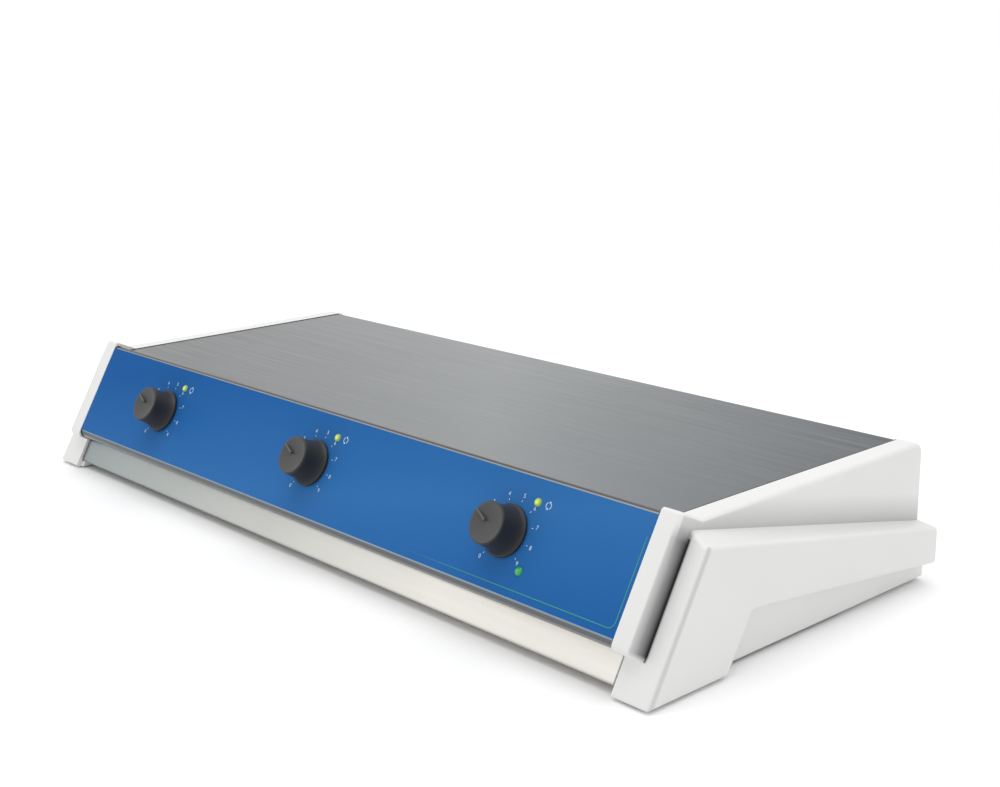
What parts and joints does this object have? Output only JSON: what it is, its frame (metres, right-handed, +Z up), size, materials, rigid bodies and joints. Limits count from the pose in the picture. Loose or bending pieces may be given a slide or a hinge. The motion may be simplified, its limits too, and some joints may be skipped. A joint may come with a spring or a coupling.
{
  "type": "magnetic stirrer",
  "caption": "Bench magnetic stirrer: low steel case between moulded end cheeks, sloping control panel with a dial for each station, flat top plate over rotating magnets.",
  "frame": {"origin": "on the bench, under the middle of the object's bounding box", "axes": "+X to the right along the length, seen from the control panel; +Y from the control panel to the back; +Z up"},
  "size_m": [0.601, 0.2529, 0.0908],
  "materials": {
    "brushed_top": "brushed along the length, satin",
    "case_steel": "brushed, satin",
    "panel_blue": "printed film, satin blue with white dial marks",
    "cheek_white": "moulded, fine satin texture",
    "foot_rubber": "matt",
    "screw_steel": "zinc plated",
    "knob_grey": "moulded, satin",
    "control_metal": "plain",
    "spindle_steel": "turned",
    "board_green": "solder resist",
    "nylon": "natural",
    "black_plastic": "moulded",
    "dark_plastic": "moulded, slight gloss",
    "lamp_yellow": "lit lens",
    "lamp_green": "lit lens",
    "bracket_steel": "zinc plated sheet",
    "motor_can": "dark plated",
    "hub_aluminium": "turned",
    "magnet": "ground",
    "core_steel": "varnished laminations",
    "winding": "enamelled wire",
    "pin_brass": "plated",
    "fuse_glass": "clear",
    "wire": "sheathed wires"
  },
  "bodies": {
    "case": {"top_plate": "brushed_top", "base_tray": "case_steel", "rear_panel": "case_steel", "fascia": "case_steel", "panel_film": "panel_blue", "left_cheek": "cheek_white", "right_cheek": "cheek_white", "rubber_feet": "foot_rubber", "foot_screws": "screw_steel", "cheek_screws": "screw_steel", "panel_screws": "screw_steel", "plate_screws": "screw_steel", "rear_screws": "screw_steel", "bracket_screws": "screw_steel", "motor_screws": "screw_steel", "left_control": "control_metal", "centre_control": "control_metal", "right_control": "control_metal", "control_nuts": "spindle_steel", "control_board": "board_green", "board_spacers": "nylon", "lamp_spacers": "black_plastic", "left_lamp": "lamp_yellow", "centre_lamp": "lamp_yellow", "right_lamp": "lamp_yellow", "power_lamp": "lamp_green", "left_bracket": "bracket_steel", "centre_bracket": "bracket_steel", "right_bracket": "bracket_steel", "left_motor": "motor_can", "centre_motor": "motor_can", "right_motor": "motor_can", "transformer_core": "core_steel", "transformer_coil": "winding", "power_screws": "screw_steel", "supply_board": "board_green", "inlet": "black_plastic", "inlet_pins": "pin_brass", "inlet_screws": "screw_steel", "switch_body": "black_plastic", "loom": "wire"},
    "left_knob": {"left_knob": "knob_grey", "left_spindle": "spindle_steel"},
    "centre_knob": {"centre_knob": "knob_grey", "centre_spindle": "spindle_steel"},
    "right_knob": {"right_knob": "knob_grey", "right_spindle": "spindle_steel"},
    "left_rotor": {"left_shaft": "spindle_steel", "left_hub": "hub_aluminium", "left_magnets": "magnet"},
    "centre_rotor": {"centre_shaft": "spindle_steel", "centre_hub": "hub_aluminium", "centre_magnets": "magnet"},
    "right_rotor": {"right_shaft": "spindle_steel", "right_hub": "hub_aluminium", "right_magnets": "magnet"},
    "rocker": {"rocker": "dark_plastic"},
    "fuse_drawer": {"fuse_drawer": "dark_plastic", "fuse": "fuse_glass"}
  },
  "joints": [
    {"name": "left_knob_turn", "type": "hinge", "parent": "case", "child": "left_knob", "pos_m": [-0.178, -0.10573, 0.05899], "axis": [0, 0.866, -0.5], "range_deg": [-83, 195]},
    {"name": "centre_knob_turn", "type": "hinge", "parent": "case", "child": "centre_knob", "pos_m": [0, -0.10573, 0.05899], "axis": [0, 0.866, -0.5], "range_deg": [-83, 195]},
    {"name": "right_knob_turn", "type": "hinge", "parent": "case", "child": "right_knob", "pos_m": [0.178, -0.10573, 0.05899], "axis": [0, 0.866, -0.5], "range_deg": [-83, 195]},
    {"name": "left_rotor_spin", "type": "hinge", "parent": "case", "child": "left_rotor", "pos_m": [-0.178, 0.02195, 0.072], "axis": [0, 0, 1], "continuous": true},
    {"name": "centre_rotor_spin", "type": "hinge", "parent": "case", "child": "centre_rotor", "pos_m": [0, 0.02195, 0.072], "axis": [0, 0, 1], "continuous": true},
    {"name": "right_rotor_spin", "type": "hinge", "parent": "case", "child": "right_rotor", "pos_m": [0.178, 0.02195, 0.072], "axis": [0, 0, 1], "continuous": true},
    {"name": "rocker_tip", "type": "hinge", "parent": "case", "child": "rocker", "pos_m": [-0.131, 0.11895, 0.039], "axis": [-1, 0, 0], "range_deg": [0, 22]},
    {"name": "fuse_drawer_slide", "type": "slide", "parent": "case", "child": "fuse_drawer", "axis": [0, 1, 0], "range_m": [0, 0.016]}
  ]
}
